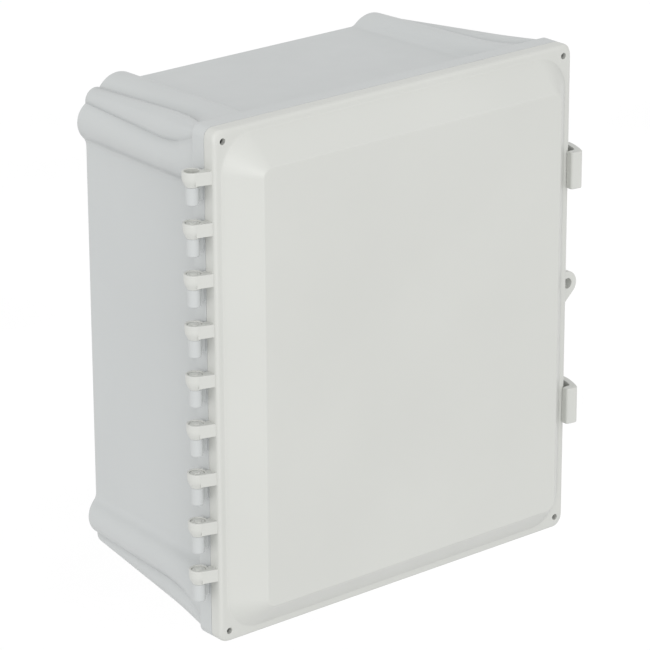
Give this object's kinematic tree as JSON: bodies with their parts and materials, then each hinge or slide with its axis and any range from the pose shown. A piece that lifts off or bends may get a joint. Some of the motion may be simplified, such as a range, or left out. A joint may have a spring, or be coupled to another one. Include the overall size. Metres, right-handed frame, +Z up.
{
  "type": "hinged wall enclosure",
  "caption": "Plastic wall enclosure with a side-hinged bevelled cover, snap latches, a padlock eye, scalloped rear corners and a back panel inside.",
  "frame": {"origin": "centre of the flat rear face, where the box meets the wall", "axes": "+Z up along the tall side, +Y out of the rear face into the wall, +X to the latch side as seen from the front"},
  "size_m": [0.3585, 0.1925, 0.3806],
  "materials": {
    "base_plastic": "satin light grey moulding",
    "cover_plastic": "satin light grey moulding",
    "hinge_pin_plastic": "satin light grey moulding",
    "latch_plastic": "satin light grey moulding",
    "latch_pin_steel": "bright turned",
    "gasket_rubber": "matt black",
    "insert_brass": "turned",
    "panel_paint": "satin white paint",
    "screw_steel": "zinc plated"
  },
  "bodies": {
    "enclosure_body": {"base": "base_plastic", "hinge_pin_1": "hinge_pin_plastic", "hinge_pin_2": "hinge_pin_plastic", "hinge_pin_3": "hinge_pin_plastic", "hinge_pin_4": "hinge_pin_plastic", "hinge_pin_5": "hinge_pin_plastic", "hinge_pin_6": "hinge_pin_plastic", "hinge_pin_7": "hinge_pin_plastic", "hinge_pin_8": "hinge_pin_plastic", "hinge_pin_9": "hinge_pin_plastic", "latch_pin_upper": "latch_pin_steel", "latch_pin_lower": "latch_pin_steel", "back_panel": "panel_paint", "panel_screw_1": "screw_steel", "panel_screw_2": "screw_steel", "panel_screw_3": "screw_steel", "panel_screw_4": "screw_steel", "cover_insert_1": "insert_brass", "cover_insert_2": "insert_brass", "cover_insert_3": "insert_brass", "cover_insert_4": "insert_brass", "mount_insert_1": "insert_brass", "mount_insert_2": "insert_brass", "mount_insert_3": "insert_brass", "mount_insert_4": "insert_brass", "panel_insert_1": "insert_brass", "panel_insert_2": "insert_brass", "panel_insert_3": "insert_brass", "panel_insert_4": "insert_brass"},
    "cover_body": {"cover": "cover_plastic", "cover_gasket": "gasket_rubber"},
    "upper_latch_body": {"latch_upper": "latch_plastic"},
    "lower_latch_body": {"latch_lower": "latch_plastic"}
  },
  "joints": [
    {"name": "cover_hinge", "type": "hinge", "parent": "enclosure_body", "child": "cover_body", "pos_m": [-0.1735, -0.1602, 0], "axis": [0, 0, -1], "range_deg": [0, 180]},
    {"name": "latch_upper_pivot", "type": "hinge", "parent": "enclosure_body", "child": "upper_latch_body", "pos_m": [0.1716, -0.1535, 0.0945], "axis": [0, 0, 1], "range_deg": [0, 100]},
    {"name": "latch_lower_pivot", "type": "hinge", "parent": "enclosure_body", "child": "lower_latch_body", "pos_m": [0.1716, -0.1535, -0.0912], "axis": [0, 0, 1], "range_deg": [0, 100]}
  ]
}
